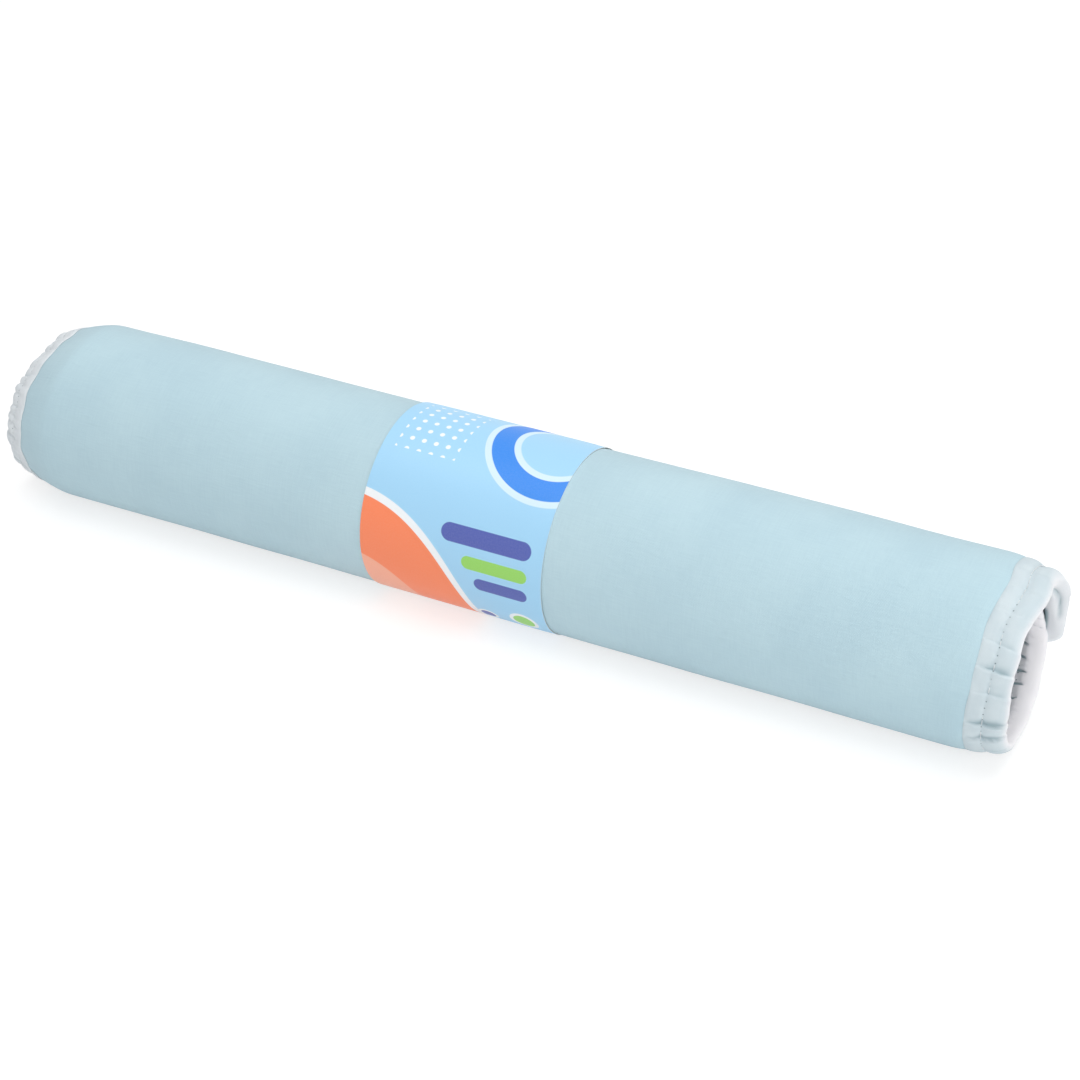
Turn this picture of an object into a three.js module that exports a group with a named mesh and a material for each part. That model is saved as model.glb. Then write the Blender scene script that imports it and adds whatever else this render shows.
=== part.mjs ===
// An ironing board cover, rolled up along its length with its cotton face out and held by
// a printed paper sleeve. Millimetres, +Z up. The roll's axis runs along X, the free end of the
// cover, its tail, lies on the +Y side, and the sleeve rests on the plane z = 0.
//
// Everything but the sleeve is first described on the flat cover and then wound up: a place on
// it is an angle wound from the tail, a position x across the cover, and a depth below the cotton's face.

import * as THREE from 'three';

// Driving dimensions of the flat cover
const COVER_WIDTH = 506;
const COVER_LENGTH = 1300;
const STRAIGHT_SIDE = 230;
const SIDE_LEAN = 36;
const NOSE_LENGTH = 420;
const NOSE_TIP_CLEAR = 10;
const NOSE_ROUNDING = 2.2;
const PAD_SHORT_OF_NOSE = 40;

// Driving dimensions of the layers, pressed flat as they lie in the roll
const COTTON_THICKNESS = 0.5;
const FOAM_THICKNESS = 1.7;
const FELT_THICKNESS = 1.2;
const LAYER_GAP = 0.3;

// Driving dimensions of the hem: a folded casing with an elastic in its channel
const HEM_WIDTH = 18;
const HEM_LEAF = 0.45;
const HEM_STITCH_LINE = 7.2;
const HEM_STITCH_DIP = 0.3;
const HEM_RIM_ROUND = 1.4;
const HEM_TONGUE = 7;
const SEAM_GAP = 0.3;
const ELASTIC_DIAMETER = 1.9;
const ELASTIC_CLEARANCE = 0.3;
const ELASTIC_SIDES = 5;
const PLEAT_DEPTH = 0.8;

// Driving dimensions of the roll
const CORE_RADIUS = 14.5;
const TAIL_ANGLE = THREE.MathUtils.degToRad(-19);
const STATIONS_PER_TURN = 20;
const SETTLED_FLAT = 2.5;
const RIGHT_DRAW_IN = THREE.MathUtils.degToRad(30);
const LEFT_DRAW_IN = THREE.MathUtils.degToRad(58);
const LEFT_SHOULDER = 16;
const LEFT_SHOULDER_SLOPE = 0.3;
const SHOULDER_FADE_PER_TURN = 0.2;
const TAIL_CORNER_DRAW = 0.4;
const TAIL_CORNER_TURNS = 0.25;
const CORE_DRAW = 0.6;

// Driving dimensions of the paper sleeve
const SLEEVE_WIDTH = 90;
const SLEEVE_OFFSET = -2.4;
const SLEEVE_GAP = 0.3;
const PAPER_THICKNESS = 0.4;
const SLEEVE_LAP = 15;

// Worked out from the dimensions above
const FULL_TURN = 2 * Math.PI;
const STEP = FULL_TURN / STATIONS_PER_TURN;
const FOAM_DEPTH = COTTON_THICKNESS + LAYER_GAP;
const FELT_DEPTH = FOAM_DEPTH + FOAM_THICKNESS + LAYER_GAP;
const PITCH = FELT_DEPTH + FELT_THICKNESS + LAYER_GAP;
const TONGUE_DEPTH = COTTON_THICKNESS + LAYER_GAP;
const CHANNEL_HEIGHT = ELASTIC_DIAMETER + 2 * ELASTIC_CLEARANCE;
const HEM_DEPTH = CHANNEL_HEIGHT + 2 * HEM_LEAF;
const CHANNEL_MIDDLE = (HEM_STITCH_LINE + HEM_WIDTH) / 2;
const PAD_INSET = HEM_WIDTH + HEM_TONGUE + LAYER_GAP;
const NOSE_TIP_HALF = HEM_WIDTH + HEM_TONGUE + NOSE_TIP_CLEAR / 2;
const NOSE_START = COVER_LENGTH - NOSE_LENGTH;
const ROLL_RADIUS = Math.sqrt(CORE_RADIUS ** 2 + (COVER_LENGTH * PITCH) / Math.PI);

// The winding: radius of the cotton's face, and flat length from the tail, at a wound angle
const radiusAt = (wound) => ROLL_RADIUS - (PITCH * wound) / FULL_TURN;
const lengthAt = (wound) => ROLL_RADIUS * wound - (PITCH * wound ** 2) / (2 * FULL_TURN);

function woundAt(length) {
  const radius = Math.sqrt(ROLL_RADIUS ** 2 - (2 * PITCH * length) / FULL_TURN);
  return ((ROLL_RADIUS - radius) * FULL_TURN) / PITCH;
}

// The soft roll settles on a flat underside: each turn is pressed in alike, towards the axis
const BOTTOM_WOUND = 1.5 * Math.PI - TAIL_ANGLE;
const REST_DEPTH = radiusAt(BOTTOM_WOUND) - SETTLED_FLAT;

function settledShare(wound) {
  const drop = -radiusAt(wound % FULL_TURN) * Math.sin(TAIL_ANGLE + wound);
  return drop > REST_DEPTH ? REST_DEPTH / drop : 1;
}

function stationPoint(station, depth) {
  const wound = station * STEP;
  const radius = (radiusAt(wound) - depth) * settledShare(wound);
  const angle = TAIL_ANGLE + wound;
  return new THREE.Vector2(radius * Math.cos(angle), radius * Math.sin(angle));
}

// Between two stations every layer runs straight, so that the facets of all the turns nest
function crossPoint(wound, depth) {
  const station = Math.floor(wound / STEP);
  const share = wound / STEP - station;
  return stationPoint(station, depth).lerp(stationPoint(station + 1, depth), share);
}

function anglesBetween(start, end) {
  const angles = [start];
  for (let station = Math.floor(start / STEP) + 1; station * STEP < end; station += 1) {
    angles.push(station * STEP);
  }
  angles.push(end);
  return angles;
}

// Half the flat cover's width: straight from the tail, then leaning in, then the rounded nose
function halfWidthAt(wound) {
  const length = lengthAt(wound);
  const leaning = Math.max(0, length - STRAIGHT_SIDE) / (COVER_LENGTH - STRAIGHT_SIDE);
  const side = COVER_WIDTH / 2 - SIDE_LEAN * leaning;
  const nose = Math.max(0, (length - NOSE_START) / NOSE_LENGTH);
  return side + (NOSE_TIP_HALF - side) * nose ** NOSE_ROUNDING;
}

// The left end is drawn in further: short of the seam, all the layers slope towards the axis
const shoulderAt = (wound) => halfWidthAt(wound) - HEM_WIDTH - LEFT_SHOULDER;

function shoulderDrop(x, wound) {
  const fade = SHOULDER_FADE_PER_TURN * Math.max(0, wound / FULL_TURN - 1);
  const slope = LEFT_SHOULDER_SLOPE * Math.max(0, 1 - fade);
  return slope * Math.max(0, -x - shoulderAt(wound));
}

// A closed body through rings of points, capped at both ends by the triangles of its section
function skin(rings, section) {
  const size = section.length;
  const last = (rings.length - 1) * size;
  const triangles = [];
  for (let ring = 0; ring + 1 < rings.length; ring += 1) {
    for (let point = 0; point < size; point += 1) {
      const here = ring * size + point;
      const beside = ring * size + ((point + 1) % size);
      triangles.push(here, here + size, beside, beside, here + size, beside + size);
    }
  }
  for (const [a, b, c] of THREE.ShapeUtils.triangulateShape(section, [])) {
    const turnsLeft = THREE.ShapeUtils.area([section[a], section[b], section[c]]) > 0;
    const [second, third] = turnsLeft ? [b, c] : [c, b];
    triangles.push(a, second, third, last + a, last + third, last + second);
  }
  const geometry = new THREE.BufferGeometry();
  geometry.setFromPoints(rings.flat());
  geometry.setIndex(triangles);
  return geometry;
}

// Sweep a section of (x, depth) points, counter-clockwise, along the winding
function wind(angles, sectionAt) {
  const rings = angles.map((wound) =>
    sectionAt(wound).map(({ x, y: depth }) => {
      const cross = crossPoint(wound, depth + shoulderDrop(x, wound));
      return new THREE.Vector3(x, cross.x, cross.y);
    }),
  );
  return skin(rings, sectionAt(angles[0]));
}

// A layer of the cover: a strip of one thickness, narrower than the cover by an inset each side
function layer(startLength, endLength, inset, depth, thickness) {
  const angles = anglesBetween(woundAt(startLength), woundAt(endLength));
  return wind(angles, (wound) => {
    const half = halfWidthAt(wound) - inset;
    const shoulder = shoulderAt(wound);
    return [
      new THREE.Vector2(-half, depth),
      new THREE.Vector2(-shoulder, depth),
      new THREE.Vector2(half, depth),
      new THREE.Vector2(half, depth + thickness),
      new THREE.Vector2(-shoulder, depth + thickness),
      new THREE.Vector2(-half, depth + thickness),
    ];
  });
}

// The hem casing's hairpin section, out from the seam: outer leaf, rim, inner leaf and its tongue
// under the cotton, then back along the inside of the channel
function hemSection(tongue) {
  const innerPinch = HEM_STITCH_DIP + 2 * HEM_LEAF;
  const rimShoulder = HEM_WIDTH - HEM_RIM_ROUND;
  const rimDepth = HEM_DEPTH / 2;
  const rimSpread = HEM_DEPTH / 2 - HEM_LEAF;
  return [
    [SEAM_GAP, 0],
    [HEM_STITCH_LINE, HEM_STITCH_DIP],
    [CHANNEL_MIDDLE, 0],
    [rimShoulder, rimDepth - rimSpread],
    [HEM_WIDTH, rimDepth],
    [rimShoulder, rimDepth + rimSpread],
    [CHANNEL_MIDDLE, HEM_DEPTH],
    [HEM_STITCH_LINE, innerPinch + HEM_LEAF],
    [-tongue, TONGUE_DEPTH + HEM_LEAF],
    [-tongue, TONGUE_DEPTH],
    [HEM_STITCH_LINE, innerPinch],
    [CHANNEL_MIDDLE, HEM_DEPTH - HEM_LEAF],
    [rimShoulder - HEM_LEAF, rimDepth],
    [CHANNEL_MIDDLE, HEM_LEAF],
    [HEM_STITCH_LINE, HEM_STITCH_DIP + HEM_LEAF],
    [SEAM_GAP, HEM_LEAF],
  ];
}

function elasticSection() {
  return Array.from({ length: ELASTIC_SIDES }, (_, corner) => {
    const angle = (corner * FULL_TURN) / ELASTIC_SIDES;
    const radius = ELASTIC_DIAMETER / 2;
    return [CHANNEL_MIDDLE + radius * Math.cos(angle), HEM_DEPTH / 2 + radius * Math.sin(angle)];
  });
}

// The elastic draws the rim in: how far it bends towards the axis, least at the tail and the core
function drawInAt(wound, drawIn) {
  const corner = Math.min(1, TAIL_CORNER_DRAW + ((1 - TAIL_CORNER_DRAW) * wound) / (TAIL_CORNER_TURNS * FULL_TURN));
  const core = CORE_DRAW + ((1 - CORE_DRAW) * radiusAt(wound)) / ROLL_RADIUS;
  return drawIn * corner * core;
}

// Pleats: the casing dips between one station and the next, more towards its rim
const pleatAt = (wound) => PLEAT_DEPTH * (1 - Math.abs(((wound / STEP) % 2) - 1));

function gather([out, depth], wound, drawIn) {
  if (out <= 0) {
    return new THREE.Vector2(out, depth);
  }
  const bend = drawInAt(wound, drawIn);
  const bendRadius = HEM_WIDTH / bend;
  const turned = (bend * out) / HEM_WIDTH;
  const reach = bendRadius - depth - (pleatAt(wound) * out) / HEM_WIDTH;
  return new THREE.Vector2(reach * Math.sin(turned), bendRadius - reach * Math.cos(turned));
}

// A stretch of one long side's casing or elastic, wound up; side is 1 or -1 along X. Near the tail its
// tongue stops short of the tail's own casing
function sideHem(side, drawIn, sectionAt, startLength, endLength) {
  const tailTongueEnd = woundAt(HEM_WIDTH + HEM_TONGUE + SEAM_GAP);
  const start = woundAt(startLength);
  const tail = start < tailTongueEnd ? anglesBetween(start, tailTongueEnd) : [start];
  const rest = anglesBetween(Math.max(start, tailTongueEnd), woundAt(endLength));
  return wind([...tail, ...rest.slice(1)], (wound) => {
    const seam = halfWidthAt(wound) - HEM_WIDTH;
    const section = sectionAt(wound <= tailTongueEnd ? -SEAM_GAP : HEM_TONGUE);
    const points = section.map((point) => {
      const gathered = gather(point, wound, drawIn);
      return new THREE.Vector2(side * (seam + gathered.x), gathered.y);
    });
    return side > 0 ? points : points.reverse();
  });
}

// The tail's casing or elastic lies along X between the two long sides' casings
function tailOutline(section, drop) {
  const woundOf = ([out]) => woundAt(HEM_WIDTH - out);
  const points = [];
  section.forEach((from, index) => {
    const to = section[(index + 1) % section.length];
    points.push(crossPoint(woundOf(from), from[1] + drop));
    const share = (STEP - woundOf(from)) / (woundOf(to) - woundOf(from));
    if (share > 0 && share < 1) {
      points.push(crossPoint(STEP, THREE.MathUtils.lerp(from[1], to[1], share) + drop));
    }
  });
  return points.reverse();
}

function tailHem(section) {
  const seam = halfWidthAt(0) - HEM_WIDTH;
  const rings = [seam, -shoulderAt(0), -seam].map((x) =>
    tailOutline(section, shoulderDrop(x, 0)).map((point) => new THREE.Vector3(x, point.x, point.y)),
  );
  return skin(rings, tailOutline(section, 0));
}

// The sleeve is pulled tight round the roll: the convex hull of the outermost turn
function rollHull() {
  const outline = anglesBetween(0, FULL_TURN).map((wound) => crossPoint(wound, 0));
  const turnsLeft = (a, b, c) => b.clone().sub(a).cross(c.clone().sub(b)) > 0;
  const hull = outline.slice();
  let kept = 0;
  while (kept !== hull.length) {
    kept = hull.length;
    for (let point = hull.length - 1; point >= 0; point -= 1) {
      const before = hull[(point + hull.length - 1) % hull.length];
      const after = hull[(point + 1) % hull.length];
      if (!turnsLeft(before, hull[point], after)) {
        hull.splice(point, 1);
      }
    }
  }
  return hull;
}

function outwards(from, to) {
  return new THREE.Vector2(to.y - from.y, from.x - to.x).normalize();
}

function offsetOutline(outline, distance) {
  return outline.map((point, index) => {
    const before = outwards(outline[(index + outline.length - 1) % outline.length], point);
    const after = outwards(point, outline[(index + 1) % outline.length]);
    const mitre = before.clone().add(after);
    return point.clone().addScaledVector(mitre, (2 * distance) / mitre.lengthSq());
  });
}

// The printed band, with its ends lapped and glued on the straight stretch below the tail
function sleeve() {
  const inner = offsetOutline(rollHull(), SLEEVE_GAP);
  const outer = offsetOutline(inner, PAPER_THICKNESS);
  const lapEnd = outer[0];
  const lapStart = outer[outer.length - 1];
  const along = lapEnd.clone().sub(lapStart).normalize();
  const out = outwards(lapStart, lapEnd).multiplyScalar(PAPER_THICKNESS);
  const margin = (lapStart.distanceTo(lapEnd) - SLEEVE_LAP) / 2;
  const first = lapStart.clone().addScaledVector(along, margin);
  const second = lapEnd.clone().addScaledVector(along, -margin);
  const lap = [first, first.clone().add(out), second.clone().add(out), second];
  const band = new THREE.Shape([...outer, ...lap]);
  band.holes.push(new THREE.Path(inner));
  const geometry = new THREE.ExtrudeGeometry(band, { depth: SLEEVE_WIDTH, bevelEnabled: false });
  const axesToRoll = new THREE.Matrix4().makeBasis(
    new THREE.Vector3(0, 1, 0),
    new THREE.Vector3(0, 0, 1),
    new THREE.Vector3(1, 0, 0),
  );
  return geometry.applyMatrix4(axesToRoll).translate(SLEEVE_OFFSET - SLEEVE_WIDTH / 2, 0, 0);
}

function part(name, geometry, color, roughness) {
  const material = new THREE.MeshStandardMaterial({ color, roughness, metalness: 0 });
  const mesh = new THREE.Mesh(geometry, material);
  mesh.name = name;
  return mesh;
}

const COTTON_BLUE = 0xbdd8e4;
const FOAM_CREAM = 0xe9e2cc;
const FELT_BLUE_GREY = 0xa6c2c8;
const HEM_WHITE = 0xe6ebee;
const ELASTIC_WHITE = 0xf0f0ec;
const SLEEVE_SKY = 0xa8d9f8;

const cover = new THREE.Group();
cover.add(
  part(
    'cotton_cover',
    layer(HEM_WIDTH, COVER_LENGTH, HEM_WIDTH, 0, COTTON_THICKNESS),
    COTTON_BLUE,
    0.85,
  ),
  part(
    'foam_layer',
    layer(PAD_INSET, COVER_LENGTH - PAD_SHORT_OF_NOSE, PAD_INSET, FOAM_DEPTH, FOAM_THICKNESS),
    FOAM_CREAM,
    0.95,
  ),
  part(
    'felt_layer',
    layer(PAD_INSET, COVER_LENGTH - PAD_SHORT_OF_NOSE, PAD_INSET, FELT_DEPTH, FELT_THICKNESS),
    FELT_BLUE_GREY,
    0.95,
  ),
  part('hem_casing_right', sideHem(1, RIGHT_DRAW_IN, hemSection, 0, NOSE_START), HEM_WHITE, 0.85),
  part('hem_casing_left', sideHem(-1, LEFT_DRAW_IN, hemSection, 0, NOSE_START), HEM_WHITE, 0.85),
  part(
    'hem_casing_nose_right',
    sideHem(1, RIGHT_DRAW_IN, hemSection, NOSE_START + SEAM_GAP, COVER_LENGTH),
    HEM_WHITE,
    0.85,
  ),
  part(
    'hem_casing_nose_left',
    sideHem(-1, LEFT_DRAW_IN, hemSection, NOSE_START + SEAM_GAP, COVER_LENGTH),
    HEM_WHITE,
    0.85,
  ),
  part('hem_casing_tail', tailHem(hemSection(HEM_TONGUE)), HEM_WHITE, 0.85),
  part(
    'elastic_right',
    sideHem(1, RIGHT_DRAW_IN, elasticSection, 0, COVER_LENGTH),
    ELASTIC_WHITE,
    0.8,
  ),
  part(
    'elastic_left',
    sideHem(-1, LEFT_DRAW_IN, elasticSection, 0, COVER_LENGTH),
    ELASTIC_WHITE,
    0.8,
  ),
  part('elastic_tail', tailHem(elasticSection()), ELASTIC_WHITE, 0.8),
  part('paper_sleeve', sleeve(), SLEEVE_SKY, 0.5),
);

// The origin is the middle of the box that the whole part fills, on the surface that it rests on
const extent = new THREE.Box3().setFromObject(cover);
const middle = extent.getCenter(new THREE.Vector3());
cover.position.set(-middle.x, -middle.y, -extent.min.z);

export default cover;
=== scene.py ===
"""The looks of an ironing board cover that is rolled up in a printed paper sleeve.

Each cloth starts as a flat grid, as it is cut, and is then wound up. A place on the flat cover is
a distance across it, a length from its tail and a depth below the cotton's face. Sizes are in
millimetres until a mesh is written, in metres.
"""

import math

import bpy
import numpy as np
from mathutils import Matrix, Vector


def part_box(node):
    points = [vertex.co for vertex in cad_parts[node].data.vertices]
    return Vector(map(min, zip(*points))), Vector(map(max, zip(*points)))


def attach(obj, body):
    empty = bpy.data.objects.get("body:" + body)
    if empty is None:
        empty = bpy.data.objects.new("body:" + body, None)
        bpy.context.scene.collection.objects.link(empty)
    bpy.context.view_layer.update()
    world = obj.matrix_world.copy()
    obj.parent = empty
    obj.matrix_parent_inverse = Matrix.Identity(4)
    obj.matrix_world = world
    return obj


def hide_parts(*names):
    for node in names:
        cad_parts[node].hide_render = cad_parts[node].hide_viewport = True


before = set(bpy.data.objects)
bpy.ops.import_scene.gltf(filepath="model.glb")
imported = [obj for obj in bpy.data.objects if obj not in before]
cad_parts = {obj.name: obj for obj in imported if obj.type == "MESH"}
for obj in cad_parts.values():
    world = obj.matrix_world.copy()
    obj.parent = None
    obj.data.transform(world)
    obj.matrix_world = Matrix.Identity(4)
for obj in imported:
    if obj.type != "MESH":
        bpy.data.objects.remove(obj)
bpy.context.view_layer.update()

MM = 0.001
TURN = 2.0 * math.pi

# The flat cover, as it is cut
COVER_WIDTH = 506.0
COVER_LENGTH = 1300.0
STRAIGHT_SIDE = 230.0
SIDE_LEAN = 36.0
NOSE_LENGTH = 420.0
NOSE_TIP_HALF = 30.0
NOSE_ROUNDING = 2.2
HEM_WIDTH = 18.0
HEM_TONGUE = 7.0
STITCH_LINE = 7.2
PAD_INSET = 25.3
PAD_SHORT_OF_NOSE = 40.0

# The layers, as they lie in the roll
COTTON_THICKNESS = 0.5
FOAM_DEPTH = 0.8
FOAM_THICKNESS = 1.7
FELT_DEPTH = 2.8
FELT_THICKNESS = 1.2
HEM_CLOTH = 0.35
CLOTH_SMOOTHING = math.radians(55.0)

# The winding
PITCH = 4.3
CORE_RADIUS = 14.5
ROLL_RADIUS = math.sqrt(CORE_RADIUS**2 + COVER_LENGTH * PITCH / math.pi)
TAIL_ANGLE = math.radians(-19.0)
STATIONS_PER_TURN = 20
SETTLED_FLAT = 2.5
SETTLE_SHARPNESS = 26.0
ROLL_WAVES = (
    (310.0, 2, 0.4, 0.16),
    (140.0, 3, 2.1, 0.12),
    (83.0, 1, 4.0, 0.07),
    (57.0, 4, 1.2, 0.05),
)


def ease(low, high, value):
    """From 0 at low to 1 at high, with soft ends."""
    share = np.clip((value - low) / (high - low), 0.0, 1.0)
    return share * share * (3.0 - 2.0 * share)


def eased_through(at, knots, values):
    """A soft curve through the values at the knots, level beyond the first and last."""
    knots = np.asarray(knots, float)
    values = np.asarray(values, float)
    at = np.clip(at, knots[0], knots[-1])
    span = np.clip(np.searchsorted(knots, at, side="right") - 1, 0, len(knots) - 2)
    share = ease(knots[span], knots[span + 1], at)
    return values[span] + (values[span + 1] - values[span]) * share


def bell(value, width):
    """1 at 0, falling off on both sides over the width."""
    return np.exp(-((value / width) ** 2))


def quarter_round(share):
    """From 0 to 1 along a quarter of a circle, then level."""
    return np.sqrt(1.0 - (1.0 - np.minimum(1.0, share)) ** 2)


def radius_at(wound):
    return ROLL_RADIUS - PITCH * wound / TURN


def length_at(wound):
    return ROLL_RADIUS * wound - PITCH * wound**2 / (2.0 * TURN)


def wound_at(length):
    radius = np.sqrt(ROLL_RADIUS**2 - 2.0 * PITCH * length / TURN)
    return (ROLL_RADIUS - radius) * TURN / PITCH


def length_at_angle(degrees):
    """The length from the tail at an angle round the roll, counted on from the tail's own."""
    return length_at(np.radians(degrees) - TAIL_ANGLE)


def half_width_at(length):
    leaning = np.maximum(0.0, length - STRAIGHT_SIDE) / (COVER_LENGTH - STRAIGHT_SIDE)
    side = COVER_WIDTH / 2.0 - SIDE_LEAN * leaning
    nose = np.clip((length - COVER_LENGTH + NOSE_LENGTH) / NOSE_LENGTH, 0.0, 1.0)
    return side + (NOSE_TIP_HALF - side) * nose**NOSE_ROUNDING


def seam_at(length):
    return half_width_at(length) - HEM_WIDTH


def on_stretch(along, rise, fall):
    """1 on a stretch of the outer turn and 0 off it; it rises and falls between degrees round
    the roll."""
    risen = ease(*length_at_angle(np.array(rise)), along)
    return risen * (1.0 - ease(*length_at_angle(np.array(fall)), along))


REST_DEPTH = radius_at(1.5 * math.pi - TAIL_ANGLE) - SETTLED_FLAT
TAIL_SEAM = float(seam_at(np.array(0.0)))


def roll_axis():
    """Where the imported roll's axis lies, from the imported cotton's box."""
    low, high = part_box("cotton_cover")
    wound = np.arange(STATIONS_PER_TURN) * TURN / STATIONS_PER_TURN
    nearest = np.min(radius_at(wound) * np.cos(TAIL_ANGLE + wound))
    return (low[0] + high[0]) / 2.0, low[1] - nearest * MM, low[2] + REST_DEPTH * MM


AXIS = np.array(roll_axis())


def soft_waves(across, angle):
    """The soft roll's slow unevenness, alike in every turn, so that the turns stay nested."""
    depth = 0.0
    for wave_length, rounds, phase, height in ROLL_WAVES:
        depth = depth + height * np.sin(TURN * across / wave_length + rounds * angle + phase)
    return depth


def on_roll(across, wound, depth):
    """A place on the roll in metres; the underside is pressed flat where it rests."""
    angle = TAIL_ANGLE + wound
    drop = np.maximum(0.0, -radius_at(np.mod(wound, TURN)) * np.sin(angle))
    pressed = (1.0 + (drop / REST_DEPTH) ** SETTLE_SHARPNESS) ** (-1.0 / SETTLE_SHARPNESS)
    radius = (radius_at(wound) - depth - soft_waves(across, angle)) * pressed
    place = np.stack([across, radius * np.cos(angle), radius * np.sin(angle)], axis=-1)
    return AXIS + place * MM


class DrawnEnd:
    """How the elastic draws in one end of the roll: the edge bends towards the axis past the
    shoulder, by more or less round the roll, and each turn stands out or back along the axis."""

    SHIFT_REACH = 60.0
    BEND_REACH = 40.0
    BEND_STEP = 0.1
    WANDER_REACH = 22.0
    LONG_WANDER = 31.0
    SHORT_WANDER = 17.0

    def __init__(self, bend, share, shift, wander):
        self.out = np.arange(-self.SHIFT_REACH, self.BEND_REACH, self.BEND_STEP)
        self.lean = np.radians(eased_through(self.out, *bend))
        self.across = self.out[0] + np.cumsum(np.cos(self.lean)) * self.BEND_STEP
        self.drop = np.cumsum(np.sin(self.lean)) * self.BEND_STEP
        self.share = share
        self.shift = shift
        self.wander = wander

    def bent(self, out, depth, length):
        wound = wound_at(length)
        degrees = np.degrees(TAIL_ANGLE + wound)
        share = eased_through(degrees, *self.share)
        shift = eased_through(degrees, *self.shift) * ease(-self.SHIFT_REACH, 0.0, out)
        uneven = np.sin(TURN * length / self.LONG_WANDER + 1.0)
        uneven = uneven + 0.7 * np.sin(TURN * length / self.SHORT_WANDER)
        shift = shift + self.wander * uneven * ease(-self.WANDER_REACH, 0.0, out)
        lean = np.interp(out, self.out, self.lean) * share
        lost = np.where(out < self.out[0], 0.0, out - np.interp(out, self.out, self.across))
        drop = np.interp(out, self.out, self.drop) * share
        across = out - lost * share**2 + shift - depth * np.sin(lean)
        return across, drop + depth * np.cos(lean)


# Bends are (mm out from the seam, degrees), shares and shifts (degrees round the roll, value)
RIGHT_END = DrawnEnd(
    bend=((-10, 0, 8, 18, 30), (0, 6, 11, 20, 24)),
    share=(
        (-19, 20, 60, 100, 150, 195, 225, 255, 310, 341, 400, 700, 1100, 1700, 2200),
        (1.0, 1.0, 1.5, 1.1, 0.9, 0.98, 1.3, 1.1, 0.5, 0.5, 1.6, 1.3, 1.0, 0.6, 0.0),
    ),
    shift=(
        (-19, 30, 75, 98, 130, 165, 192, 255, 310, 341, 358, 375, 410, 1000, 1700),
        (-0.4, 0.9, 0.2, 1.6, -0.3, -0.3, -1.7, -2.6, -4.4, -4.8, -7.2, -8.6, -8.6, -4.5, 0.0),
    ),
    wander=0.12,
)
LEFT_END = DrawnEnd(
    bend=((-20, -12, -4, 0, 4, 18, 30), (0, 15, 20.5, 22, 28, 57, 60)),
    share=(
        (-19, 60, 100, 140, 180, 215, 250, 300, 341, 700, 1060, 1400, 2000),
        (0.88, 0.98, 1.12, 1.1, 0.99, 0.79, 0.41, 0.75, 0.9, 0.9, 0.7, 0.45, 0.0),
    ),
    shift=(
        (-19, 60, 100, 140, 180, 215, 250, 341, 400, 1000, 1700),
        (-1.1, -1.8, -2.7, 0.8, 3.2, 3.9, 2.9, -1.0, -4.0, -3.0, 0.0),
    ),
    wander=0.45,
)


def wind_up(across, length, depth):
    """Wind places of the flat cover on to the roll."""
    seam = seam_at(length)
    out = np.abs(across) - seam
    right_across, right_depth = RIGHT_END.bent(out, depth, length)
    left_across, left_depth = LEFT_END.bent(out, depth, length)
    on_right = across >= 0.0
    bent_across = np.where(on_right, seam + right_across, -seam - left_across)
    return on_roll(bent_across, wound_at(length), np.where(on_right, right_depth, left_depth))


def flat_cloth(name, columns, rows):
    """A flat grid to be wound up, with each corner's column and row."""
    bpy.ops.object.select_all(action="DESELECT")
    bpy.ops.mesh.primitive_grid_add(
        x_subdivisions=columns - 1, y_subdivisions=rows - 1, size=1.0
    )
    cloth = bpy.context.object
    cloth.name = name
    cloth.data.name = name
    corners = np.empty(len(cloth.data.vertices) * 3)
    cloth.data.vertices.foreach_get("co", corners)
    corners = corners.reshape(-1, 3)
    column = np.rint((corners[:, 0] + 0.5) * (columns - 1)).astype(int)
    row = np.rint((corners[:, 1] + 0.5) * (rows - 1)).astype(int)
    return cloth, column, row


def lay_out(cloth, column, row, places, across, along):
    """Move a flat grid's corners to their places; its UV map keeps the cut, in metres."""
    cloth.data.vertices.foreach_set("co", places[row, column].ravel())
    cut = np.stack([across[row, column], along[row, column]], axis=-1) * MM
    corner = np.empty(len(cloth.data.loops), dtype=np.int32)
    cloth.data.loops.foreach_get("vertex_index", corner)
    cloth.data.uv_layers[0].data.foreach_set("uv", cut[corner].ravel())
    cloth.data.update()


def mark(cloth, column, row, name, amount):
    """Keep an amount for each corner, from 0 to 1, for the cloth's finish to read."""
    kept = cloth.data.attributes.new(name, "FLOAT", "POINT")
    kept.data.foreach_set("value", np.ascontiguousarray(amount[row, column], dtype=np.float32))


def give_thickness(cloth, thickness, turn_over):
    """Give a sheet its thickness on its inner side, and soft shading."""
    if turn_over:
        cloth.data.flip_normals()
    wall = cloth.modifiers.new("cloth thickness", "SOLIDIFY")
    wall.thickness = thickness * MM
    wall.offset = -1.0
    bpy.ops.object.modifier_apply(modifier=wall.name)
    bpy.ops.object.shade_smooth_by_angle(angle=CLOTH_SMOOTHING)


def row_lengths(start, end, fine_step, fine_until, coarse_step):
    """Lengths from the tail for the rows of a cloth, closer together on the outer turn."""
    fine_until = min(fine_until, end)
    fine = np.linspace(start, fine_until, max(2, int((fine_until - start) / fine_step)))
    if fine_until == end:
        return fine
    coarse = np.linspace(fine_until, end, max(2, int((end - fine_until) / coarse_step)))
    return np.concatenate([fine, coarse[1:]])


# The cotton, the foam and the felt
COTTON_UNDER_HEM = 4.0
COTTON_INSET = HEM_WIDTH - COTTON_UNDER_HEM
COTTON_TUCK = 0.75
TUCK_FROM = -0.7
TUCK_UNTIL = 1.6
EDGE_ZONE = 36.0
EDGE_ZONE_MOST = 0.8


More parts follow.
